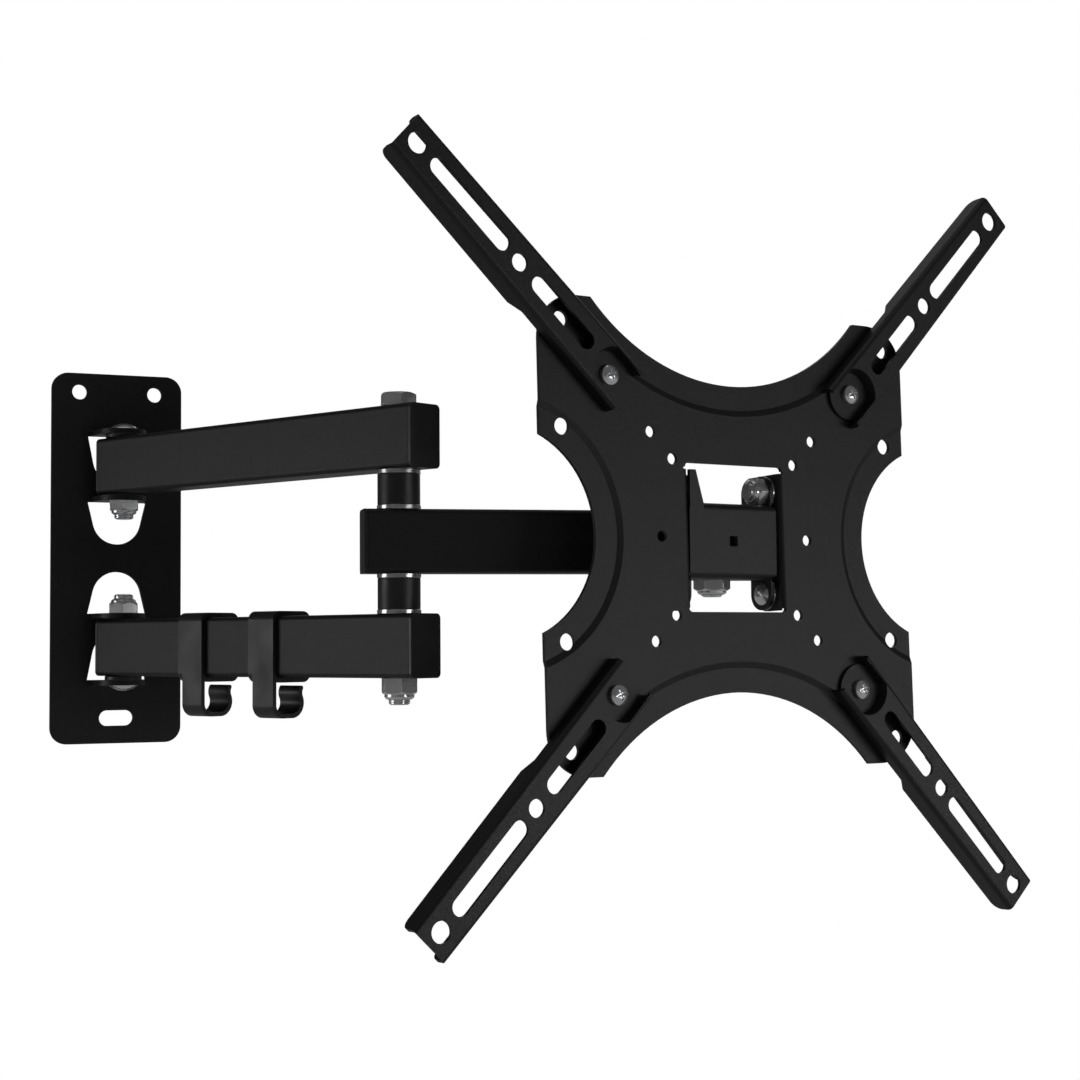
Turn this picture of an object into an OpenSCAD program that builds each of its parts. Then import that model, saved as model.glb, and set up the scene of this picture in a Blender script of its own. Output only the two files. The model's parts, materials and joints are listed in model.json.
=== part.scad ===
// Full motion wall mount for a flat screen.
// Millimetres, +Z up. The wall is the plane Y = 0 and the mount stands out toward -Y.
// The origin is the middle of the wall plate's back face.
// The arms are drawn half folded: the rear arms swing to +X and the forearm comes round further.

/* [Wall plate] */
// Width of the wall plate
wall_w = 72.5; // [60:0.5:100]
// Height of the wall plate
wall_h = 206; // [180:1:260]
// Thickness of the wall plate and its folded ears
wall_t = 2.8; // [2:0.1:4]
// Corner radius of the wall plate
wall_r = 9; // [3:1:14]
// Distance between the two upper screw holes
wall_hole_gap = 42; // [30:1:60]
// Height of the upper screw holes above the middle
wall_hole_z = 92.5; // [80:0.5:110]
// Diameter of the upper screw holes
wall_hole_d = 8.4; // [6:0.1:10]
// Distance of the levelling slot below the middle
wall_slot_z = 89; // [80:0.5:110]
// Length of the levelling slot
wall_slot_l = 19; // [12:0.5:26]
// Width of the levelling slot
wall_slot_w = 8.6; // [6:0.1:10]
// Distance of the arm pivots from the wall
pivot_off = 20.5; // [18:0.5:24]

/* [Arms] */
// Width of the square-edged arm tube
tube_w = 20; // [16:1:26]
// Height of the arm tube
tube_h = 30.8; // [24:0.2:40]
// Wall of the arm tube
tube_t = 1.5; // [1:0.1:2.5]
// Height of the two rear arms above and below the middle
arm_z = 50; // [45:0.1:60]
// Pivot to pivot length of the rear arms
rear_len = 214; // [160:1:260]
// Pivot to pivot length of the forearm
fore_len = 156; // [120:1:220]
// Turn of the rear arms from straight out of the wall
rear_turn = 25; // [-90:1:90]
// Turn of the forearm from straight out of the wall
fore_turn = 77.6; // [-150:0.1:180]
// Turn of the head from straight out of the wall
head_turn = 9; // [-80:1:80]

/* [Screen plate] */
// Width and height of the screen plate
plate_w = 225; // [210:1:240]
// Sheet thickness of the screen plate
plate_t = 2; // [1.5:0.1:3]
// Corner radius of the screen plate
plate_r = 22; // [8:1:26]
// Upward tilt of the screen plate
tilt_up = 2; // [-12:0.5:3]
// Screw pitch of the small screen pattern
vesa_small = 75; // [75:1:75]
// Screw pitch of the middle screen pattern
vesa_middle = 100; // [100:1:100]
// Screw pitch of the large screen pattern
vesa_large = 200; // [200:1:200]

/* [Extension arms] */
// Half pitch of the extension arm screws
ext_pivot = 75; // [60:1:85]
// Length from the screw to the end hole
ext_len = 141.4; // [110:0.1:170]
// Width of the extension arm channel at its far end
ext_w = 22; // [18:0.5:28]
// Width of the extension arm channel at its screw
ext_root = 26; // [20:0.5:30]
// Sheet thickness of the extension arms
ext_t = 1.8; // [1.2:0.1:2.5]
// Angle of the upper left arm above level
ext_ul = 43; // [5:0.5:85]
// Angle of the upper right arm above level
ext_ur = 45; // [5:0.5:85]
// Angle of the lower left arm below level
ext_ll = 45; // [5:0.5:85]
// Angle of the lower right arm below level
ext_lr = 47; // [5:0.5:85]

/* [Cable clips] */
// Distance of the inner clip from the wall pivot
clip_inner = 72.5; // [46:0.5:100]
// Distance of the outer clip from the wall pivot
clip_outer = 128; // [97:0.5:177]
// Width of a clip along the arm
clip_w = 19; // [12:1:30]
// Wall of a clip
clip_t = 2.3; // [1.5:0.1:3]

/* [Hidden] */
$fn = 72;
cut = 0.5;
rub = 0.05;
fit = 0.06;
bolt_r = 5;
bore_r = bolt_r + fit;
bolt_af = 16;
bolt_head_h = 6.4;
nut_h = 10;
swivel_nut_h = 7;
wall_nut_h = 7.5;
wall_nut_af = 15;
wall_dome = 3.2;
wall_dome_r = 8.3;
sleeve_r = 7;
arm_top = arm_z + tube_h / 2;
arm_bot = arm_z - tube_h / 2;
outer_gap = 2.3;
inner_gap = 0.8;
ear_hi = arm_top + outer_gap;
ear_lo = arm_bot - inner_gap - wall_t;
ear_reach = 28.8;
ear_root = 15.8;
ear_tip = 13;
ear_cut_root = 16.3;
ear_cut_r = 13.6;
ear_cut_c = 12.4;
ear_cut_in = 9.7;
tube_r = 2.5;
cap_t = 1.6;
wall_over = 11.8;
elbow_over = 17.8;
head_over = 11;
wall_washer_r = 10;
elbow_washer_t = 2;
elbow_washer_r = 10.6;
spacer_r = 10.3;
elbow_x = rear_len * sin(rear_turn);
elbow_y = -pivot_off - rear_len * cos(rear_turn);
swivel_x = elbow_x + fore_len * sin(fore_turn);
swivel_y = elbow_y - fore_len * cos(fore_turn);
web_front = 17.8;
web_t = 2;
head_w = 53.6;
head_h = 37;
head_bend = 3.5;
head_tip = 11;
swivel_dome = 1.2;
swivel_dome_r = 8.5;
lobe_r = 8;
lobe_y = -8;
lobe_z = 25.5;
lobe_reach = 2 * lobe_z;
tilt_pin_r = 4;
tilt_slot_r = 4.3;
tilt_washer_r = 8;
plate_gap = 20.8;
plate_rise = 0.9;
pin_d = plate_gap + lobe_y;
pin_z = -lobe_z - plate_rise;
tab_in = 28;
window_w = 60;
window_h = 72;
fold_r = 3;
relief = 1.2;
rim = 12;
rim_run = 3;
side_arc_r = 50;
side_arc_x = 132.4;
end_arc_r = 108;
end_arc_z = 183;
ext_front = 7.5;
ext_deep = 11.5;
ext_end = 8.1;
ext_step = 52;
ext_bend = 2.5;
ext_back = 11;
ext_strip = 2.7;
pocket_face_r = 12.8;
pocket_r = 11.2;
pocket_floor_r = 12.8;
screw_r = 3;
clip_gap = 0.3;
black_coat = "#1b1b1d";
zinc = "#b9bcbf";
black_plastic = "#242426";

// ---- flat shapes ----

module rounded(w, h, r) {
  square([w - 2 * r, h], center = true);
  square([w, h - 2 * r], center = true);
  for (sx = [-1, 1], sy = [-1, 1]) {
    translate([sx * (w / 2 - r), sy * (h / 2 - r)]) circle(r);
  }
}

module slot(l, w) {
  square([l - w, w], center = true);
  for (s = [-1, 1]) {
    translate([s * (l - w) / 2, 0]) circle(w / 2);
  }
}

// A tongue that leaves the line Y = 0 at half width b and closes in a round end at depth c.
module tongue(b, r, c) {
  d = sqrt(b * b + c * c);
  turn = 180 + atan(c / b) + asin(r / d);
  run = sqrt(d * d - r * r);
  tx = b + run * cos(turn);
  ty = run * sin(turn);
  polygon([[-b, 0], [b, 0], [tx, ty], [-tx, ty]]);
  translate([0, -c]) circle(r);
}

// A shape with its two near corners rounded, growing from X = 0.
module near_round(d, h, r) {
  translate([r, -h / 2]) square([d - r, h]);
  translate([0, r - h / 2]) square([d, h - 2 * r]);
  for (s = [-1, 1]) {
    translate([r, s * (h / 2 - r)]) circle(r);
  }
}

module channel(d, h, r, t) {
  difference() {
    near_round(d, h, r);
    translate([t, 0]) near_round(d, h - 2 * t, r - t);
  }
}

module fan(r, a0, a1) {
  polygon(concat([[0, 0]], [for (i = [0:4]) 2 * r * [cos(a0 + (a1 - a0) * i / 4),
    sin(a0 + (a1 - a0) * i / 4)]]));
}

// Part of a ring, r at its middle line and t wide, from angle a0 to a1.
module ring_part(r, t, a0, a1) {
  intersection() {
    difference() {
      circle(r + t / 2);
      circle(r - t / 2);
    }
    fan(r + t / 2, a0, a1);
  }
}

// ---- directions ----

// A flat shape stood upright, its back at Y = 0 and its thickness toward -Y.
module upright(t) rotate([90, 0, 0]) linear_extrude(t) children();

// A flat shape drawn in Y and Z, running along X from 0.
module across(l) rotate([90, 0, 90]) linear_extrude(l) children();

// ---- places ----

module at_wall_pivot() translate([0, -pivot_off, 0]) rotate([0, 0, rear_turn]) children();

module at_elbow() translate([elbow_x, elbow_y, 0]) rotate([0, 0, fore_turn]) children();

module at_head() translate([swivel_x, swivel_y, 0]) rotate([0, 0, head_turn]) children();

module at_plate() {
  at_head() translate([0, lobe_y, -lobe_z]) rotate([-tilt_up, 0, 0])
    translate([0, -pin_d, -pin_z]) children();
}

// ---- hardware ----

module hex_prism(af, h) cylinder(h = h, r = af / 2 / cos(30), $fn = 6);

// Hexagon with its upper corners turned off.
module hex_top(af, h) {
  bevel = 0.07 * af;
  intersection() {
    hex_prism(af, h);
    union() {
      cylinder(h = h - bevel, r = af);
      translate([0, 0, h - bevel]) cylinder(h = bevel, r1 = af / 2 / cos(30), r2 = 0.48 * af);
    }
  }
}

// Hexagon bolt with its head on Z = 0 and its shank going down.
module hex_bolt(r, af, head, len) {
  hex_top(af, head);
  translate([0, 0, -len]) cylinder(h = len, r = r);
  translate([0, 0, -len - r * 0.16]) cylinder(h = r * 0.16, r1 = r * 0.84, r2 = r);
}

// Self-locking nut with its flat face on Z = 0.
module lock_nut(r, af, h) {
  collar = 0.24 * h;
  difference() {
    union() {
      hex_top(af, h - collar);
      translate([0, 0, h - collar - cut]) cylinder(h = collar * 0.6 + cut, r = 0.45 * af);
      translate([0, 0, h - collar * 0.4]) cylinder(h = collar * 0.4, r1 = 0.45 * af, r2 = 0.4 * af);
    }
    translate([0, 0, -cut]) cylinder(h = h + 2 * cut, r = r);
  }
}

module ring(r_out, r_in, h) {
  difference() {
    cylinder(h = h, r = r_out);
    translate([0, 0, -cut]) cylinder(h = h + 2 * cut, r = r_in);
  }
}

// ---- wall bracket ----

module wall_outline() {
  difference() {
    rounded(wall_w, wall_h, wall_r);
    for (s = [-1, 1]) {
      translate([s * wall_hole_gap / 2, wall_hole_z]) circle(wall_hole_d / 2);
    }
    translate([0, -wall_slot_z]) slot(wall_slot_l, wall_slot_w);
    for (m = [0, 1]) {
      mirror([0, m]) translate([0, ear_hi]) tongue(ear_cut_root, ear_cut_r, ear_cut_c);
      mirror([0, m]) translate([0, ear_lo]) tongue(ear_cut_root, ear_cut_r, ear_cut_in);
    }
  }
}

// One folded ear, its lower face on Z = 0.
module wall_ear() {
  linear_extrude(wall_t) difference() {
    tongue(ear_root, ear_tip, ear_reach - ear_tip);
    translate([0, -pivot_off]) circle(bore_r);
  }
  translate([-ear_root, -wall_t - 1.2, wall_t]) difference() {
    cube([2 * ear_root, 1.2 + cut, 1.2]);
    translate([-cut, 0, 1.2]) rotate([0, 90, 0]) cylinder(h = 2 * ear_root + 2 * cut, r = 1.2);
  }
}

module fold_edge() {
  translate([-ear_root, -2.4, 0]) rotate([90, 0, 90]) linear_extrude(2 * ear_root) difference() {
    translate([0, -cut]) square([2.4 + cut, 2.4 + cut]);
    translate([0, 2.4]) circle(2.4);
  }
}

module wall_plate() {
  color(black_coat) difference() {
    union() {
      upright(wall_t) wall_outline();
      for (z = [ear_hi, ear_lo]) {
        translate([0, 0, z]) wall_ear();
        mirror([0, 0, 1]) translate([0, 0, z]) wall_ear();
      }
    }
    for (z = [ear_hi, ear_lo]) {
      translate([0, 0, z]) fold_edge();
      mirror([0, 0, 1]) translate([0, 0, z]) fold_edge();
    }
  }
}

// Bolt with a low domed head on Z = 0 and its shank going down.
module dome_bolt(r, dome_r, dome, len) {
  ball = (dome_r * dome_r + dome * dome) / (2 * dome);
  intersection() {
    translate([0, 0, dome - ball]) sphere(ball);
    cylinder(h = 2 * dome, r = 2 * dome_r);
  }
  translate([0, 0, -len]) cylinder(h = len + cut, r = r);
  translate([0, 0, -len - 0.8]) cylinder(h = 0.8, r1 = r - 0.8, r2 = r);
}

module wall_bolt() {
  grip = ear_hi + wall_t - ear_lo + wall_nut_h + 2;
  translate([0, -pivot_off, ear_hi + wall_t]) dome_bolt(bolt_r, wall_dome_r, wall_dome, grip);
}

module upper_wall_bolt() color(zinc) wall_bolt();

module lower_wall_bolt() color(zinc) mirror([0, 0, 1]) wall_bolt();

module wall_nut() {
  translate([0, -pivot_off, ear_lo]) rotate([180, 0, 15])
    lock_nut(bore_r, wall_nut_af, wall_nut_h);
}

module wall_bolt_nuts() {
  color(zinc) {
    wall_nut();
    mirror([0, 0, 1]) wall_nut();
  }
}

module wall_washer_pair() {
  thick = outer_gap - rub;
  translate([0, -pivot_off, ear_hi - thick]) ring(wall_washer_r, bore_r, thick);
  translate([0, -pivot_off, ear_lo + wall_t]) ring(wall_washer_r, bore_r, inner_gap - rub);
}

module wall_washers() {
  color(black_plastic) {
    wall_washer_pair();
    mirror([0, 0, 1]) wall_washer_pair();
  }
}

// ---- arms ----

// Tube along Y from y0 down to y1, with a round hole at each pivot.
module arm_tube(y0, y1, pivots) {
  difference() {
    translate([0, y0, 0]) upright(y0 - y1) difference() {
      rounded(tube_w, tube_h, tube_r);
      rounded(tube_w - 2 * tube_t, tube_h - 2 * tube_t, tube_r - tube_t);
    }
    for (y = pivots) {
      translate([0, y, -tube_h]) cylinder(h = 2 * tube_h, r = sleeve_r);
    }
  }
}

// Plug for a tube end: a face plate from Y = 0 and a hollow spigot, deep mm long, behind it.
module end_cap(deep) {
  translate([0, cap_t, 0]) upright(cap_t) rounded(tube_w, tube_h, tube_r);
  upright(deep) difference() {
    rounded(tube_w - 2 * tube_t, tube_h - 2 * tube_t, tube_r - tube_t);
    square([tube_w - 2 * tube_t - 2.4, tube_h - 2 * tube_t - 2.4], center = true);
  }
}

module rear_tube() arm_tube(wall_over - cap_t, cap_t - rear_len - elbow_over, [0, -rear_len]);

module upper_arm() color(black_coat) at_wall_pivot() translate([0, 0, arm_z]) rear_tube();

module lower_arm() color(black_coat) at_wall_pivot() translate([0, 0, -arm_z]) rear_tube();

module rear_arm_end_caps() {
  color(black_plastic) at_wall_pivot() for (z = [-arm_z, arm_z]) {
    translate([0, wall_over - cap_t, z]) end_cap(2.6);
    translate([0, cap_t - rear_len - elbow_over, z]) rotate([0, 0, 180]) end_cap(6);
  }
}

module sleeve() translate([0, 0, -tube_h / 2]) ring(sleeve_r, bore_r, tube_h);

module wall_end_sleeves() {
  color(zinc) at_wall_pivot() for (z = [-arm_z, arm_z]) {
    translate([0, 0, z]) sleeve();
  }
}

module elbow_end_sleeves() {
  color(zinc) at_wall_pivot() for (z = [-arm_z, arm_z]) {
    translate([0, -rear_len, z]) sleeve();
  }
}

module elbow_bolt() {
  color(zinc) at_elbow() translate([0, 0, arm_top])
    hex_bolt(bolt_r, bolt_af, bolt_head_h, 2 * arm_top + nut_h + 2);
}

module elbow_nut() {
  color(zinc) at_elbow() translate([0, 0, -arm_top]) rotate([180, 0, 0])
    lock_nut(bore_r, bolt_af, nut_h);
}

module elbow_spacer() {
  low = tube_h / 2 + rub + elbow_washer_t;
  translate([elbow_x, elbow_y, low]) ring(spacer_r, bore_r, arm_bot - elbow_washer_t - low);
}

module upper_elbow_spacer() color(black_plastic) elbow_spacer();

module lower_elbow_spacer() color(black_plastic) mirror([0, 0, 1]) elbow_spacer();

module elbow_washer_pair() {
  for (z = [tube_h / 2 + rub, arm_bot - elbow_washer_t]) {
    translate([elbow_x, elbow_y, z]) ring(elbow_washer_r, bore_r, elbow_washer_t);
  }
}

module elbow_washers() {
  color(zinc) {
    elbow_washer_pair();
    mirror([0, 0, 1]) elbow_washer_pair();
  }
}

module forearm() {
  color(black_coat) at_elbow()
    arm_tube(elbow_over - cap_t, cap_t - fore_len - head_over, [0, -fore_len]);
}

module forearm_end_caps() {
  color(black_plastic) at_elbow() {
    translate([0, elbow_over - cap_t, 0]) end_cap(6);
    translate([0, cap_t - fore_len - head_over, 0]) rotate([0, 0, 180]) end_cap(2);
  }
}

module forearm_sleeves() {
  color(zinc) at_elbow() {
    sleeve();
    translate([0, -fore_len, 0]) sleeve();
  }
}

// ---- tilt head ----

module head_plan() {
  translate([-head_w / 2, -web_front]) square([head_w, web_front]);
  mirror([0, 1]) tongue(head_w / 2, head_tip, 0);
}

// One lobe standing on a flange, drawn in Y and Z.
module lobe_shape() {
  difference() {
    union() {
      translate([lobe_y, lobe_z]) circle(lobe_r);
      translate([lobe_y - lobe_r, head_h / 2 - web_t]) square([2 * lobe_r, lobe_z - head_h / 2 + web_t]);
    }
    translate([lobe_y, lobe_z]) circle(tilt_pin_r + fit);
  }
}

module lobe() translate([head_w / 2 - web_t, 0, 0]) across(web_t) lobe_shape();

// What is taken off where a lobe folds up from its flange.
module lobe_fold() {
  translate([head_w / 2 - 2.4, lobe_y + lobe_r + cut, head_h / 2 - web_t])
    upright(2 * lobe_r + cut - 0.4) difference() {
      translate([0, -cut]) square([2.4 + cut, 2.4 + cut]);
      translate([0, 2.4]) circle(2.4);
    }
}

module four_ways() {
  for (mx = [0, 1], mz = [0, 1]) {
    mirror([mx, 0, 0]) mirror([0, 0, mz]) children();
  }
}

module tilt_bracket() {
  color(black_coat) at_head() difference() {
    union() {
      intersection() {
        translate([-head_w / 2, -web_front, 0]) across(head_w)
          channel(web_front + head_tip + 1, head_h, head_bend, web_t);
        translate([0, 0, -head_h]) linear_extrude(2 * head_h) head_plan();
      }
      four_ways() lobe();
      translate([0, web_t - web_front, 0]) upright(web_t)
        polygon([[-26.5, 14], [-18.2, 14], [-18.2, 18], [-22.9, 34.3], [-26.5, 34.3]]);
    }
    four_ways() lobe_fold();
    four_ways() translate([head_w / 2, web_t - web_front, head_h / 2 - web_t - 1])
      cylinder(h = 4.2, r = 1.5);
    cube([5, 4 * web_front, 5], center = true);
    translate([0, 0, -head_h]) cylinder(h = 2 * head_h, r = bore_r);
  }
}

module swivel_bolt() {
  color(zinc) at_head() translate([0, 0, head_h / 2])
    dome_bolt(bolt_r, swivel_dome_r, swivel_dome, head_h + swivel_nut_h + 0.6);
}

module swivel_nut() {
  color(zinc) at_head() translate([0, 0, -head_h / 2]) rotate([180, 0, 30])
    lock_nut(bore_r, bolt_af, swivel_nut_h);
}

module swivel_washers() {
  h = (head_h - 2 * web_t - tube_h) / 2 - rub;
  color(zinc) at_head() {
    translate([0, 0, tube_h / 2 + rub]) ring(9.5, bore_r, h);
    translate([0, 0, -tube_h / 2 - rub - h]) ring(9.5, bore_r, h);
  }
}

// A round rivet along X through one lobe and the plate's tab, domed at both ends.
module tilt_rivet() {
  inner = head_w / 2 - web_t;
  outer = tab_in + plate_t + rub;
  dome = 2.6;
  dome_r = 5.6;
  ball = (dome_r * dome_r + dome * dome) / (2 * dome);
  translate([0, lobe_y, -lobe_z]) rotate([0, 90, 0]) {
    translate([0, 0, inner - cut]) cylinder(h = outer - inner + 2 * cut, r = tilt_pin_r);
    intersection() {
      translate([0, 0, outer + dome - ball]) sphere(ball);
      translate([0, 0, outer]) cylinder(h = ball, r = dome_r + 1);
    }
    intersection() {
      translate([0, 0, inner - dome + ball]) sphere(ball);
      translate([0, 0, inner - ball]) cylinder(h = ball, r = dome_r + 1);
    }
  }
}

module tilt_pivot_rivets() {
  color(zinc) at_head() {
    tilt_rivet();
    mirror([1, 0, 0]) tilt_rivet();
  }
}

// A flanged bolt along X, its head outside the plate's tab.
module clamp_bolt() {
  seat = tab_in + plate_t + rub;
  grip = seat - head_w / 2 + web_t + 8.5;
  translate([seat, lobe_y, lobe_z]) rotate([0, 90, 0]) {
    cylinder(h = 1.5, r = 7.2);
    rotate([0, 0, 30]) translate([0, 0, 1.5]) hex_top(12, 5);
    translate([0, 0, -grip]) cylinder(h = grip + cut, r = tilt_pin_r);
  }
}

module tilt_clamp_bolts() {
  color(zinc) at_head() {
    clamp_bolt();
    mirror([1, 0, 0]) clamp_bolt();
  }
}

module clamp_nut() {
  translate([head_w / 2 - web_t, lobe_y, lobe_z]) rotate([0, -90, 0]) rotate([0, 0, 30])
    lock_nut(tilt_pin_r + fit, 13, 7);
}

module tilt_clamp_nuts() {
  color(zinc) at_head() {
    clamp_nut();
    mirror([1, 0, 0]) clamp_nut();
  }
}

module tilt_clamp_washers() {
  h = tab_in - head_w / 2 - rub;
  color(zinc) at_head() four_ways() translate([head_w / 2, lobe_y, lobe_z]) rotate([0, 90, 0])
    ring(tilt_washer_r, tilt_pin_r + fit, h);
}

// ---- screen plate ----

// Round bites along the four edges.
module edge_bites() {
  for (s = [-1, 1]) {
    translate([s * side_arc_x, 0]) circle(side_arc_r);
    translate([0, s * end_arc_z]) circle(end_arc_r);
  }
}

// Shallow cones round the four bites, starting lead before depth y and narrowing to the set-back rim.
module rim_cones(y, lead) {
  more = rim_run * (1 + lead / relief);
  for (s = [-1, 1]) {
    translate([s * side_arc_x, y - lead, 0]) rotate([-90, 0, 0])
      cylinder(h = relief + lead, r1 = side_arc_r + rim + more, r2 = side_arc_r + rim);
    translate([0, y - lead, s * end_arc_z]) rotate([-90, 0, 0])
      cylinder(h = relief + lead, r1 = end_arc_r + rim + more, r2 = end_arc_r + rim);
  }
}

module plate_outline() {
  difference() {
    rounded(plate_w, plate_w, plate_r);
    edge_bites();
  }
}

module four_holes(px, pz, r) {
  for (sx = [-1, 1], sz = [-1, 1]) {
    translate([sx * px / 2, sz * pz / 2]) circle(r);
  }
}

module plate_openings() {
  rounded(window_w, window_h, 2);
  square([2 * (tab_in + fold_r), 68], center = true);
  four_holes(vesa_small, vesa_small, 2.8);
  four_holes(vesa_middle, vesa_middle, 2.8);
  four_holes(vesa_large, vesa_middle, 4);
  four_holes(vesa_large, vesa_large, 4);
  four_holes(2 * ext_pivot, 2 * ext_pivot, screw_r + fit);
  for (s = [-1, 1]) {
    translate([s * 45, 0]) circle(2.75);
  }
}

// The side tab, drawn with its depth behind the front along X and Z upward along Y.
module tab_shape() {
  difference() {
    union() {
      translate([fold_r, -34]) square([8 - fold_r, 67]);
      translate([fold_r, 18]) square([23 - fold_r, 15]);
      translate([8, 22]) square([22, 4]);
      translate([23, 25]) intersection() {
        translate([-6, -7]) square([13, 15]);
        union() {
          translate([-1, 0]) circle(8);
          translate([-7, -7]) square([8, 15]);
          translate([-1, -7]) square([8, 7]);
        }
      }
      translate([fold_r, pin_z - 8.5]) square([pin_d - fold_r, 17]);
      translate([pin_d, pin_z]) circle(8.5);
    }
    translate([pin_d, pin_z]) {
      circle(tilt_pin_r + fit);
      rotate(90) ring_part(lobe_reach, 2 * tilt_slot_r, -12.3, 5.3);
      for (a = [-12.3, 5.3]) {
        rotate(90 + a) translate([lobe_reach, 0]) circle(tilt_slot_r);
      }
    }
  }
}

module side_tab() {
  translate([tab_in, 0, 0]) across(plate_t) tab_shape();
  translate([tab_in + fold_r, fold_r, -34]) linear_extrude(67)
    ring_part(fold_r - plate_t / 2, plate_t, 180, 270);
}

module vesa_plate() {
  color(black_coat) at_plate() {
    difference() {
      union() {
        translate([0, plate_t, 0]) upright(plate_t) plate_outline();
        intersection() {
          translate([0, plate_t + relief, 0]) upright(relief + 0.4) plate_outline();
          rim_cones(plate_t, 0.4);
        }
      }
      rim_cones(0, 0.4);
      translate([0, 10, 0]) upright(20) plate_openings();
    }
    side_tab();
    mirror([1, 0, 0]) side_tab();
  }
}

// A cross-recessed pan head screw along Y, its head in front.
module arm_screw() {
  under = ext_t + 2 * rub;
  head_r = 4.75;
  dome = 1.5;
  ball = (head_r * head_r + dome * dome) / (2 * dome);
  rotate([90, 0, 0]) {
    difference() {
      union() {
        translate([0, 0, under]) cylinder(h = 2, r = head_r);
        intersection() {
          translate([0, 0, under + 2 + dome - ball]) sphere(ball);
          translate([0, 0, under + 2]) cylinder(h = ball, r = head_r + 1);
        }
      }
      for (a = [0, 90]) {
        rotate([0, 0, a + 20]) translate([-2.6, -0.55, under + 1.4]) cube([5.2, 1.1, 6]);
      }
    }
    translate([0, 0, -8.5]) cylinder(h = 8.5 + under, r = screw_r);
  }
}

module four_pivots() {
  for (sx = [-1, 1], sz = [-1, 1]) {
    translate([sx * ext_pivot, 0, sz * ext_pivot]) children();
  }
}

module arm_screws() color(zinc) at_plate() four_pivots() arm_screw();

module arm_nuts() {
  color(zinc) at_plate() four_pivots() translate([0, plate_t, 0]) rotate([-90, 0, 0]) difference() {
    hex_top(10, 5);
    translate([0, 0, -cut]) cylinder(h = 6, r = screw_r + fit);
  }
}

// ---- extension arms ----

// One side of the channel, turned a little so that it spreads toward the screw.
module ext_half(tip, spread) {
  translate([tip, 0, 0]) rotate([0, spread, 0]) translate([-tip - ext_back - 1, -ext_front, 0])
    across(tip + ext_back + 2) intersection() {
      channel(ext_deep, ext_w, ext_bend, ext_t);
      translate([-1, -5]) square([ext_deep + 2, ext_w / 2 + 6]);
    }
}

// What is left of the channel's depth along its length, seen from the side.
module ext_side(tip) {
  polygon([[-ext_back, -ext_front - cut], [tip, -ext_front - cut], [tip, ext_deep - ext_front - 5],
    [tip - 5, ext_deep - ext_front], [ext_step + 7, ext_deep - ext_front], [ext_step, -0.3],
    [-ext_back, -0.3]]);
  translate([tip - 5, ext_deep - ext_front - 5]) circle(5);
}

// One arm along X from its screw, with the screen plate's face at Y = 0.
module ext_arm() {
  tip = ext_len + ext_end;
  inside = ext_root / 2 - ext_t;
  difference() {
    union() {
      intersection() {
        for (m = [0, 1]) {
          mirror([0, 0, m]) ext_half(tip, asin((ext_root - ext_w) / 2 / tip));
        }
        translate([0, 0, -ext_root]) linear_extrude(2 * ext_root) ext_side(tip);
      }
      intersection() {
        rotate([90, 0, 0]) translate([0, 0, rub])
          cylinder(h = ext_front - rub, r1 = pocket_r + ext_t, r2 = pocket_face_r + ext_t);
        union() {
          translate([0, -ext_front, 0.7 - inside])
            cube([2 * pocket_r, ext_front, 2 * inside - 1.4]);
          translate([0, 0.4 - ext_front, -inside - 0.4])
            cube([2 * pocket_r, ext_front, 2 * inside + 0.8]);
        }
      }
    }
    intersection() {
      rotate([90, 0, 0]) translate([0, 0, -cut])
        cylinder(h = ext_front + 2 * cut, r1 = pocket_r - 0.2, r2 = pocket_face_r + 0.2);
      translate([-2 * pocket_r, -ext_front - cut, 0.5 - inside])
        cube([4 * pocket_r, ext_front + 2 * cut, 2 * inside - 1]);
    }
    translate([-2 * pocket_r, -ext_front - cut, ext_strip - ext_root / 2])
      cube([2 * pocket_r, ext_front + 2 * cut, ext_root - 2 * ext_strip]);
    translate([0, ext_t - ext_front + cut, 0]) upright(ext_t + 2 * cut) {
      translate([38.5, 0]) slot(43, 8.6);
      translate([70, 0]) circle(4.25);
      translate([105, 0]) slot(53, 8.6);
      translate([ext_len, 0]) circle(4.95);
    }
  }
  translate([0, -rub, 0]) upright(ext_t) difference() {
    circle(pocket_floor_r);
    circle(screw_r + fit);
  }
}

module extension(sx, sz, a) {
  color(black_coat) at_plate() translate([sx * ext_pivot, 0, sz * ext_pivot]) rotate([0, -a, 0])
    ext_arm();
}

module extension_arm_upper_left() extension(-1, 1, 180 - ext_ul);

module extension_arm_upper_right() extension(1, 1, ext_ur);

module extension_arm_lower_left() extension(-1, -1, 180 + ext_ll);

module extension_arm_lower_right() extension(1, -1, -ext_lr);

// ---- cable clips ----

// The part that wraps round the tube, open on the far side.
module clip_sleeve() {
  in_w = tube_w + 2 * clip_gap;
  in_h = tube_h + 2 * clip_gap;
  difference() {
    rounded(in_w + 2 * clip_t, in_h + 2 * clip_t, tube_r + clip_t);
    rounded(in_w, in_h, tube_r);
    translate([0, 5 - in_h / 2]) square([in_w, in_h - 10]);
  }
}

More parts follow.
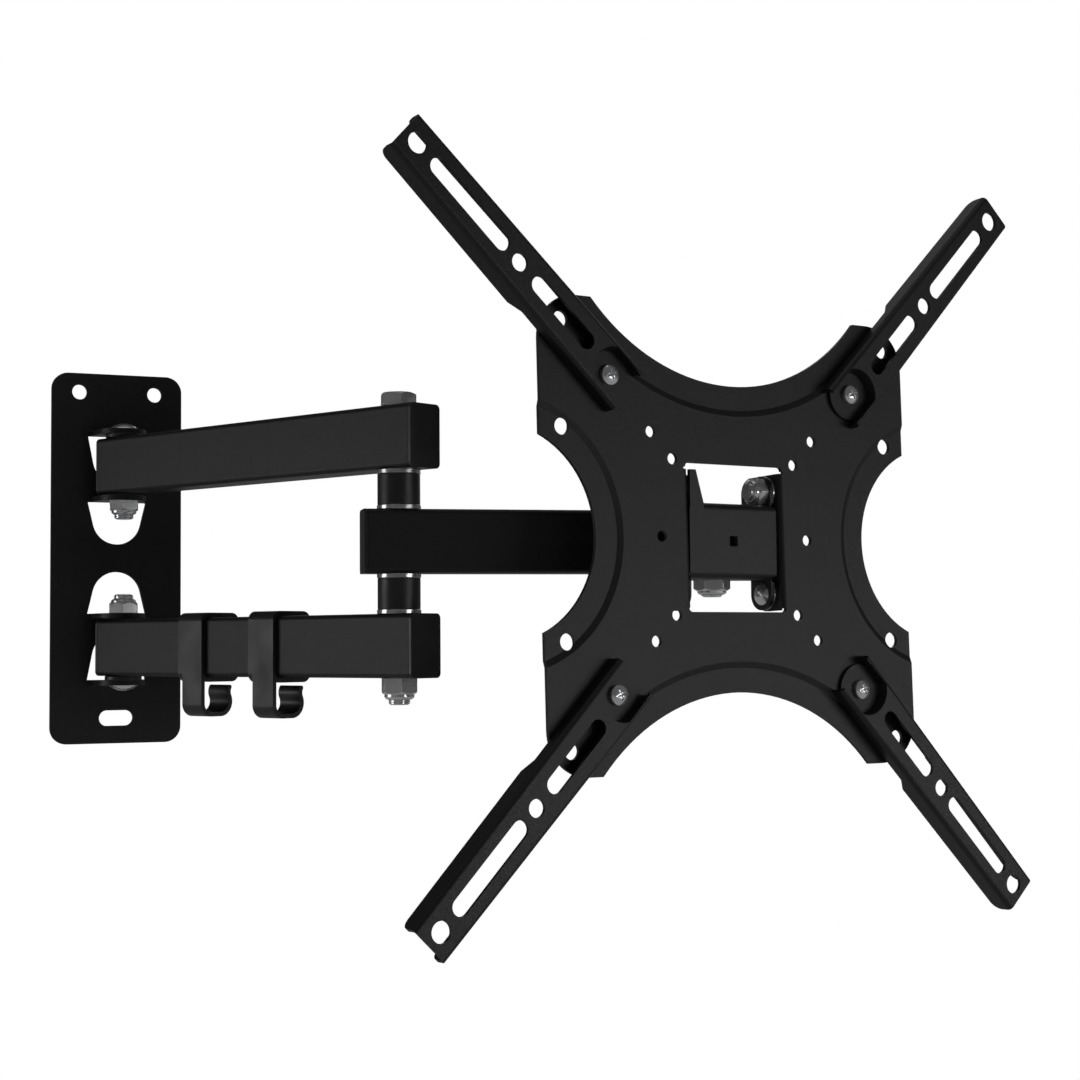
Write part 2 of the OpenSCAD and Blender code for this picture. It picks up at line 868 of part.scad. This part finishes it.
// The hanging hook, seen along the arm: stem, bottom and a back wall that waves in and out.
module clip_hook() {
  left = -tube_w / 2 - clip_gap - clip_t / 2;
  low = -tube_h / 2 - clip_gap - clip_t - 18 + clip_t / 2;
  bend = 5.5;
  belly = 6.6;
  flare = 5;
  belly_x = 0.4;
  lean = 25;
  translate([left - clip_t / 2, low + bend]) square([clip_t, -low - bend]);
  translate([left + bend, low + bend]) ring_part(bend, clip_t, 180, 270);
  translate([left + bend, low - clip_t / 2]) square([belly_x - left - bend, clip_t]);
  translate([belly_x, low + belly]) {
    ring_part(belly, clip_t, -90, lean);
    translate([(belly + flare) * cos(lean), (belly + flare) * sin(lean)]) {
      ring_part(flare, clip_t, 150, 180 + lean);
      translate([flare * cos(150), flare * sin(150)]) circle(clip_t / 2);
    }
  }
}

module cable_clip(s) {
  color(black_plastic) at_wall_pivot() translate([0, clip_w / 2 - s, -arm_z]) {
    upright(clip_w) clip_sleeve();
    translate([0, -3.5, 0]) upright(clip_w - 3.5) clip_hook();
  }
}

module inner_cable_clip() cable_clip(clip_inner);

module outer_cable_clip() cable_clip(clip_outer);

wall_plate();
upper_wall_bolt();
lower_wall_bolt();
wall_bolt_nuts();
wall_washers();
upper_arm();
lower_arm();
rear_arm_end_caps();
wall_end_sleeves();
elbow_end_sleeves();
elbow_bolt();
elbow_nut();
upper_elbow_spacer();
lower_elbow_spacer();
elbow_washers();
forearm();
forearm_end_caps();
forearm_sleeves();
tilt_bracket();
swivel_bolt();
swivel_nut();
swivel_washers();
tilt_pivot_rivets();
tilt_clamp_bolts();
tilt_clamp_nuts();
tilt_clamp_washers();
vesa_plate();
arm_screws();
arm_nuts();
extension_arm_upper_left();
extension_arm_upper_right();
extension_arm_lower_left();
extension_arm_lower_right();
inner_cable_clip();
outer_cable_clip();
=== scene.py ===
"""Looks for the full motion screen mount: finishes, threads, floor, light and camera."""
import json
import math

import bmesh
import bpy
from mathutils import Matrix, Vector


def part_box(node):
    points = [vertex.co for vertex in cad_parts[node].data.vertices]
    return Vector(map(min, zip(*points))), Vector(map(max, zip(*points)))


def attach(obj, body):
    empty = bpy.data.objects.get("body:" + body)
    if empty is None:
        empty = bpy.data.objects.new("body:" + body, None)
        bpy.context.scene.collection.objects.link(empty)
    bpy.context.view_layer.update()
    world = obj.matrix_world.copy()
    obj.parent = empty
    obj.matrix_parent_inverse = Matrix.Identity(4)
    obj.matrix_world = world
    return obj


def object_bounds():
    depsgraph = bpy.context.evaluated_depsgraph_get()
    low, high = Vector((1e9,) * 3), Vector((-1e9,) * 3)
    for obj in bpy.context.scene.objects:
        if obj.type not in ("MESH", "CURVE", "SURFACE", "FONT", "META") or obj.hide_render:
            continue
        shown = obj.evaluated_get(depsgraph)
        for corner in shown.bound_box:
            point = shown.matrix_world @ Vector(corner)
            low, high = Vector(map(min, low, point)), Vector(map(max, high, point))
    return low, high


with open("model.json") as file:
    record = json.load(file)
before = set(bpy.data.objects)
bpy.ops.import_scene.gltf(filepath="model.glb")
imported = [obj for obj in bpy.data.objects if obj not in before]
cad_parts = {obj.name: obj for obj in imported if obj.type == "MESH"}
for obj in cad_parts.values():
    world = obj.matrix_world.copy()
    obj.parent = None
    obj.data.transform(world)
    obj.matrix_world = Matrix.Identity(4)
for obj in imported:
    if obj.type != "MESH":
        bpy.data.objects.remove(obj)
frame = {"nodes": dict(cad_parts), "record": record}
cad_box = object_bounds()
NODES = frame["nodes"]
JOINTS = {row["name"]: row for row in frame["record"]["behaviour"]["joints"]}
MM = 0.001
UP = Vector((0, 0, 1))
DOWN = -UP
WHITE = (1, 1, 1, 1)

# ---------------------------------------------------------------- camera

CAMERA_AT = Vector((-0.2389, -1.1208, -0.0502))
# In degrees, from looking square at the wall.
CAMERA_TURN = -24.0
CAMERA_LIFT = 3.01
CAMERA_ROLL = 0.38
LENS_MM = 66.8
SENSOR_MM = 36.0
# A new camera looks straight down, and this turns it level, to face the wall.
CAMERA_LEVEL = 90


def turn(degrees, axis):
    return Matrix.Rotation(math.radians(degrees), 4, axis)


def make_camera():
    data = bpy.data.cameras.new("camera")
    data.lens = LENS_MM
    data.sensor_width = SENSOR_MM
    cam = bpy.data.objects.new("camera", data)
    bpy.context.scene.collection.objects.link(cam)
    heading = turn(CAMERA_TURN, "Z") @ turn(CAMERA_LIFT, "X") @ turn(CAMERA_ROLL, "Y")
    cam.matrix_world = Matrix.Translation(CAMERA_AT) @ (heading @ turn(CAMERA_LEVEL, "X"))
    bpy.context.scene.camera = cam


# ---------------------------------------------------------------- materials

# Noise seldom leaves this range.
NOISE_LOW = 0.3
NOISE_HIGH = 0.7
# A Mix node has sockets for every kind of value. These are the ones for colours.
MIX_FACTOR = 0
MIX_FIRST = 6
MIX_SECOND = 7
MIX_RESULT = 2


def add(tree, kind, **values):
    """A new node, with each value put on its socket of that name, or else on the node itself."""
    node = tree.nodes.new(kind)
    for key, value in values.items():
        if key in node.inputs:
            node.inputs[key].default_value = value
        else:
            setattr(node, key, value)
    return node


class Surface:
    """A new material on a Principled shader, with noise to vary its colour, gloss and relief."""

    def __init__(self, name, colour, rough, metallic=0.0, specular=0.5):
        self.material = bpy.data.materials.new(name)
        self.material.use_nodes = True
        self.material.diffuse_color = (*colour, 1)
        self.tree = self.material.node_tree
        self.shader = self.tree.nodes["Principled BSDF"]
        self.shader.inputs["Base Color"].default_value = (*colour, 1)
        self.shader.inputs["Roughness"].default_value = rough
        self.shader.inputs["Metallic"].default_value = metallic
        self.shader.inputs["Specular IOR Level"].default_value = specular
        self.coords = add(self.tree, "ShaderNodeTexCoord").outputs["Object"]

    def noise(self, per_metre, detail=3.0, rough=0.5):
        """Noise with about per_metre patches to the metre."""
        node = add(
            self.tree, "ShaderNodeTexNoise", Scale=per_metre, Detail=detail, Roughness=rough
        )
        self.tree.links.new(self.coords, node.inputs["Vector"])
        return node.outputs["Fac"]

    def spread(self, noise, low=0.0, high=1.0):
        """The noise, stretched from its usual range to run from low to high."""
        node = add(self.tree, "ShaderNodeMapRange")
        node.inputs["From Min"].default_value = NOISE_LOW
        node.inputs["From Max"].default_value = NOISE_HIGH
        node.inputs["To Min"].default_value = low
        node.inputs["To Max"].default_value = high
        self.tree.links.new(noise, node.inputs["Value"])
        return node.outputs["Result"]

    def weighted_sum(self, first, weight, second):
        """The first times weight, plus the second."""
        node = add(self.tree, "ShaderNodeMath", operation="MULTIPLY_ADD")
        self.tree.links.new(first, node.inputs[0])
        node.inputs[1].default_value = weight
        self.tree.links.new(second, node.inputs[2])
        return node.outputs[0]

    def tint(self, factor, first, second):
        """Sets the base colour between two colours, by factor."""
        node = add(self.tree, "ShaderNodeMix", data_type="RGBA")
        self.tree.links.new(factor, node.inputs[MIX_FACTOR])
        node.inputs[MIX_FIRST].default_value = (*first, 1)
        node.inputs[MIX_SECOND].default_value = (*second, 1)
        self.tree.links.new(node.outputs[MIX_RESULT], self.shader.inputs["Base Color"])

    def vary_roughness(self, noise, low, high):
        self.tree.links.new(self.spread(noise, low, high), self.shader.inputs["Roughness"])

    def relief(self, height, strength, depth_mm):
        """Bumps the surface by height, where a height of 1 stands depth_mm proud."""
        node = add(self.tree, "ShaderNodeBump", Strength=strength, Distance=depth_mm * MM)
        self.tree.links.new(height, node.inputs["Height"])
        self.tree.links.new(node.outputs["Normal"], self.shader.inputs["Normal"])


def powder_coat():
    """Fine-textured black powder coat on steel sheet and tube."""
    coat = Surface("powder_coat", (0.012, 0.012, 0.013), rough=0.5)
    grain = coat.noise(per_metre=2600.0, detail=2.0, rough=0.6)
    orange_peel = coat.noise(per_metre=420.0, detail=2.0)
    cloud = coat.noise(per_metre=14.0, rough=0.55)
    coat.tint(coat.spread(cloud), (0.0070, 0.0072, 0.0082), (0.0100, 0.0100, 0.0105))
    coat.vary_roughness(grain, 0.40, 0.56)
    texture = coat.weighted_sum(orange_peel, 1.6, grain)
    coat.relief(texture, strength=0.16, depth_mm=0.3)
    return coat.material


def moulded_plastic():
    """Satin black nylon with a fine grain, and flow marks in its colour and gloss."""
    plastic = Surface("moulded_plastic", (0.014, 0.014, 0.015), rough=0.42, specular=0.45)
    grain = plastic.noise(per_metre=3400.0, detail=2.0)
    flow = plastic.noise(per_metre=60.0)
    plastic.tint(flow, (0.020, 0.020, 0.021), (0.028, 0.028, 0.029))
    plastic.vary_roughness(flow, 0.32, 0.46)
    plastic.relief(grain, strength=0.08, depth_mm=0.2)
    return plastic.material


def zinc_plate():
    """Bright zinc on turned and forged fasteners, slightly cloudy."""
    zinc = Surface("zinc_plate", (0.90, 0.91, 0.92), rough=0.2, metallic=0.8)
    cloud = zinc.noise(per_metre=120.0)
    fine = zinc.noise(per_metre=1500.0, rough=0.6)
    zinc.tint(zinc.spread(cloud), (0.86, 0.87, 0.89), (0.95, 0.95, 0.96))
    zinc.vary_roughness(cloud, 0.16, 0.24)
    zinc.relief(fine, strength=0.03, depth_mm=0.2)
    return zinc.material


def washer_steel():
    """Smooth plated steel, a little uneven in colour and gloss."""
    steel = Surface("washer_steel", (0.72, 0.73, 0.74), rough=0.2, metallic=0.8)
    cloud = steel.noise(per_metre=240.0)
    steel.tint(cloud, (0.60, 0.61, 0.63), (0.80, 0.80, 0.81))
    steel.vary_roughness(cloud, 0.14, 0.26)
    steel.relief(cloud, strength=0.05, depth_mm=0.2)
    return steel.material


def nylon_insert():
    """Hazy white nylon of a lock nut's ring."""
    nylon = Surface("nylon_insert", (0.62, 0.64, 0.66), rough=0.45, specular=0.4)
    haze = nylon.noise(per_metre=500.0)
    nylon.tint(haze, (0.55, 0.57, 0.60), (0.68, 0.70, 0.72))
    nylon.relief(haze, strength=0.05, depth_mm=0.2)
    return nylon.material


NYLON = nylon_insert()
SLOT_MATERIALS = {
    "black_coat": powder_coat(),
    "zinc_fastener": zinc_plate(),
    "bright_steel": washer_steel(),
    "black_plastic": moulded_plastic(),
}
EDGE_ROUND_MM = {
    "black_coat": 0.35,
    "zinc_fastener": 0.25,
    "bright_steel": 0.2,
    "black_plastic": 0.4,
}
# The rivets' inner corners must not fill in against the plate's tabs.
RIVETS = "tilt_pivot_rivets"
RIVET_ROUND_MM = 0.03
EDGE_SEGMENTS = 2
# In degrees. It is below the slope of the screen plate's rims, so their edges are rounded too.
EDGE_ANGLE = 15
WELD_MM = 0.001
# The most that a face's size can count for in the shading beside it.
NORMAL_WEIGHT = 100


def finish_nodes():
    """Gives every CAD node its material, clean shading and small rounded edges."""
    slots = {row["node"]: row["material_slot"] for row in frame["record"]["subparts"]}
    for name, obj in NODES.items():
        slot = slots[name]
        obj.data.materials.clear()
        obj.data.materials.append(SLOT_MATERIALS[slot])
        for face in obj.data.polygons:
            face.use_smooth = True
        weld = obj.modifiers.new("weld", "WELD")
        weld.merge_threshold = WELD_MM * MM
        edge = obj.modifiers.new("edge", "BEVEL")
        edge.width = (RIVET_ROUND_MM if name == RIVETS else EDGE_ROUND_MM[slot]) * MM
        edge.segments = EDGE_SEGMENTS
        edge.limit_method = "ANGLE"
        edge.angle_limit = math.radians(EDGE_ANGLE)
        edge.use_clamp_overlap = True
        edge.face_strength_mode = "FSTR_ALL"
        normals = obj.modifiers.new("normals", "WEIGHTED_NORMAL")
        normals.weight = NORMAL_WEIGHT
        normals.use_face_influence = True


# ---------------------------------------------------------------- hardware details

THREAD_SIDES = 40
THREAD_ROWS_PER_TURN = 10
# A share of the pitch, as on a metric thread. The crests and roots are sharp, not flat, so
# the flanks are further apart than a metric thread's 60 degrees.
THREAD_DEPTH = 0.54
RING_SIDES = 48
RING_ARCS = 6


def frame_on(way):
    """A rotation whose Z runs along way."""
    return way.to_track_quat("Z", "Y").to_matrix().to_4x4()


def around(radius, side, sides, z):
    """The point at a radius and height, side steps round a circle of that many sides."""
    angle = 2 * math.pi * side / sides
    return Vector((radius * math.cos(angle), radius * math.sin(angle), z))


def make_piece(name, verts, faces, material, body):
    mesh = bpy.data.meshes.new(name)
    mesh.from_pydata(verts, [], faces)
    mesh.update()
    mesh.materials.append(material)
    for face in mesh.polygons:
        face.use_smooth = True
    obj = bpy.data.objects.new(name, mesh)
    bpy.context.scene.collection.objects.link(obj)
    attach(obj, body)


def thread(name, body, start, way, crest_r, length, pitch):
    """A right-hand thread from start along way. Its last row is at the root, as a chamfer."""
    place = Matrix.Translation(start) @ frame_on(way)
    depth = THREAD_DEPTH * pitch
    rows = max(2, round(length / pitch * THREAD_ROWS_PER_TURN))
    verts = []
    for row in range(rows + 1):
        z = length * row / rows
        for side in range(THREAD_SIDES):
            phase = (z / pitch - side / THREAD_SIDES) % 1.0
            height = 0.0 if row == rows else 1.0 - abs(2.0 * phase - 1.0)
            radius = crest_r - depth * (1.0 - height)
            verts.append(place @ around(radius, side, THREAD_SIDES, z))
    faces = []
    for row in range(rows):
        near = row * THREAD_SIDES
        far = near + THREAD_SIDES
        for side in range(THREAD_SIDES):
            other = (side + 1) % THREAD_SIDES
            faces.append((near + side, near + other, far + other, far + side))
    faces.append(tuple(rows * THREAD_SIDES + side for side in range(THREAD_SIDES)))
    make_piece(name, verts, faces, SLOT_MATERIALS["zinc_fastener"], body)


def insert_ring(name, body, at, way, inner_r, outer_r, proud):
    """The crowned nylon ring in a lock nut's mouth.

    The record's only plastic slot is black_plastic, so the white ring names that one.
    """
    place = Matrix.Translation(at) @ frame_on(way)
    verts = []
    for side in range(RING_SIDES):
        for arc in range(RING_ARCS + 1):
            share = arc / RING_ARCS
            radius = inner_r + (outer_r - inner_r) * share
            z = proud * math.sin(math.pi * share)
            verts.append(place @ around(radius, side, RING_SIDES, z))
    faces = []
    for side in range(RING_SIDES):
        near = side * (RING_ARCS + 1)
        far = (side + 1) % RING_SIDES * (RING_ARCS + 1)
        for arc in range(RING_ARCS):
            faces.append((near + arc, near + arc + 1, far + arc + 1, far + arc))
    make_piece(name, verts, faces, NYLON, body)


def middle_of(node):
    low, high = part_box(node)
    return (low + high) / 2


# Each pivot bolt's node, its body and the way its threaded end points, then in mm the outer
# radius of its nut's nylon ring, and the bare length from the nut to the bolt's chamfer.
PIVOT_BOLTS = (
    ("upper_wall_bolt", "wall_bracket", DOWN, 5.85, 2.0),
    ("lower_wall_bolt", "wall_bracket", UP, 5.85, 2.0),
    ("elbow_bolt", "rear_arm_pair", DOWN, 6.1, 2.0),
    ("swivel_bolt", "swivel_head", DOWN, 6.1, 0.6),
)
BOLT_CREST_MM = 5.35
BOLT_PITCH_MM = 1.0
BOLT_CHAMFER_MM = 0.8
# The thread carries on this far over the chamfer.
THREAD_OVER_MM = 0.4
INSERT_INNER_MM = 5.1
INSERT_PROUD_MM = 0.25
# Keeps the ring's edges off the nut's face.
INSERT_LIFT_MM = 0.02

# The short threads of the smaller screws and bolts.
STUB_LENGTH_MM = 1.3
STUB_PITCH_MM = 0.65
ARM_SCREW_CREST_MM = 3.2
# How far behind its extension's joint an arm screw's thread starts.
ARM_SCREW_START_MM = 10.0
CLAMP_CREST_MM = 4.2
# How far a clamp bolt's thread starts from the middle between the two bolts.
CLAMP_START_MM = 17.7


def pivot_bolt_ends():
    """The threads that stick out of the pivots' lock nuts, and the nuts' nylon rings."""
    for node, body, way, ring_mm, bare_mm in PIVOT_BOLTS:
        low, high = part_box(node)
        centre = middle_of(node)
        tip = Vector((centre.x, centre.y, low.z if way.z < 0 else high.z))
        nut_face = tip - way * (BOLT_CHAMFER_MM * MM + bare_mm * MM)
        length = (bare_mm + THREAD_OVER_MM) * MM
        thread(
            node + "_thread", body, nut_face, way, BOLT_CREST_MM * MM, length, BOLT_PITCH_MM * MM
        )
        ring_at = nut_face + way * INSERT_LIFT_MM * MM
        insert_ring(
            node + "_insert", body, ring_at, way,
            INSERT_INNER_MM * MM, ring_mm * MM, INSERT_PROUD_MM * MM,
        )


def stub_thread(name, body, start, way, crest_mm):
    thread(name, body, start, way, crest_mm * MM, STUB_LENGTH_MM * MM, STUB_PITCH_MM * MM)


def arm_screw_ends():
    """The threads of the four extension screws, behind the screen plate."""
    for index, corner in enumerate(("upper_left", "upper_right", "lower_left", "lower_right")):
        joint = JOINTS[corner + "_extension_swing"]
        back = -Vector(joint["axis"])
        start = Vector(joint["pos_m"]) + back * ARM_SCREW_START_MM * MM
        name = "arm_screw_thread_%d" % (index + 1)
        stub_thread(name, "screen_plate", start, back, ARM_SCREW_CREST_MM)


def clamp_bolt_ends():
    """The threads of the two tilt clamp bolts, which point at each other."""
    side = Vector(JOINTS["head_tilt"]["axis"])
    middle = middle_of("tilt_clamp_bolts")
    for index, way in enumerate((side, -side)):
        start = middle - way * CLAMP_START_MM * MM
        stub_thread("clamp_thread_%d" % (index + 1), "swivel_head", start, way, CLAMP_CREST_MM)


# ---------------------------------------------------------------- studio

FLOOR_DROP = 0.09
FLOOR_RADIUS = 9.0
FLOOR_SIDES = 96
FLOOR_GLOW = 0.05
WORLD_FILL = 0.065
# Each soft box's place in metres from the mount's middle, as the camera sees it (right, away
# and up), its width and height in metres, and its power in watts.
SOFT_BOXES = {
    "left_box": ((-2.0, -0.4, -0.8), (1.0, 2.2), 21),
    "right_box": ((1.9, -1.0, -0.9), (1.7, 2.2), 42),
    "top_box": ((0.0, -0.2, 2.2), (2.4, 1.6), 4.5),
    "back_box": ((0.4, 2.2, 1.0), (2.0, 1.6), 10),
}


def show_as_white(tree, lit, kind, output):
    """Shows plain white to the camera itself, and lit to every other ray."""
    white = add(tree, kind, Color=WHITE, Strength=1.0)
    path = add(tree, "ShaderNodeLightPath")
    pick = add(tree, "ShaderNodeMixShader")
    tree.links.new(path.outputs["Is Camera Ray"], pick.inputs[0])
    tree.links.new(lit.outputs[0], pick.inputs[1])
    tree.links.new(white.outputs[0], pick.inputs[2])
    tree.links.new(pick.outputs[0], tree.nodes[output].inputs["Surface"])


def floor_white():
    """Matt white, with a little glow that lights the mount from below."""
    white = Surface("floor_white", (0.86, 0.86, 0.86), rough=0.7, specular=0.2)
    white.tint(white.noise(per_metre=3.0, detail=2.0), (0.85, 0.85, 0.85), (0.88, 0.88, 0.88))
    white.shader.inputs["Emission Color"].default_value = WHITE
    white.shader.inputs["Emission Strength"].default_value = FLOOR_GLOW
    show_as_white(white.tree, white.shader, "ShaderNodeEmission", "Material Output")
    return white.material


def make_floor():
    """A plain floor, clear of the mount, which hangs in the air as it does in the photo."""
    mesh = bpy.data.meshes.new("floor")
    disc = bmesh.new()
    bmesh.ops.create_circle(disc, cap_ends=True, segments=FLOOR_SIDES, radius=FLOOR_RADIUS)
    disc.to_mesh(mesh)
    disc.free()
    mesh.materials.append(floor_white())
    floor = bpy.data.objects.new("floor", mesh)
    floor.location = (0.0, 0.0, cad_box[0].z - FLOOR_DROP)
    bpy.context.scene.collection.objects.link(floor)


def soft_box(name, at, size, power, target):
    data = bpy.data.lights.new(name, "AREA")
    data.shape = "RECTANGLE"
    data.size, data.size_y = size
    data.energy = power
    lamp = bpy.data.objects.new(name, data)
    lamp.location = at
    lamp.rotation_euler = (target - at).to_track_quat("-Z", "Y").to_euler()
    bpy.context.scene.collection.objects.link(lamp)


def make_lights():
    middle = (cad_box[0] + cad_box[1]) / 2
    view = turn(CAMERA_TURN, "Z").to_3x3()
    for name, (place, size, power) in SOFT_BOXES.items():
        soft_box(name, middle + view @ Vector(place), size, power, middle)


def make_world():
    """A weak even light from all round, which the camera sees as plain white."""
    world = bpy.data.worlds.new("studio")
    bpy.context.scene.world = world
    world.use_nodes = True
    fill = world.node_tree.nodes["Background"]
    fill.inputs["Color"].default_value = WHITE
    fill.inputs["Strength"].default_value = WORLD_FILL
    show_as_white(world.node_tree, fill, "ShaderNodeBackground", "World Output")


make_camera()
finish_nodes()
pivot_bolt_ends()
arm_screw_ends()
clamp_bolt_ends()
make_floor()
make_lights()
make_world()
bpy.context.scene.view_settings.view_transform = "Standard"
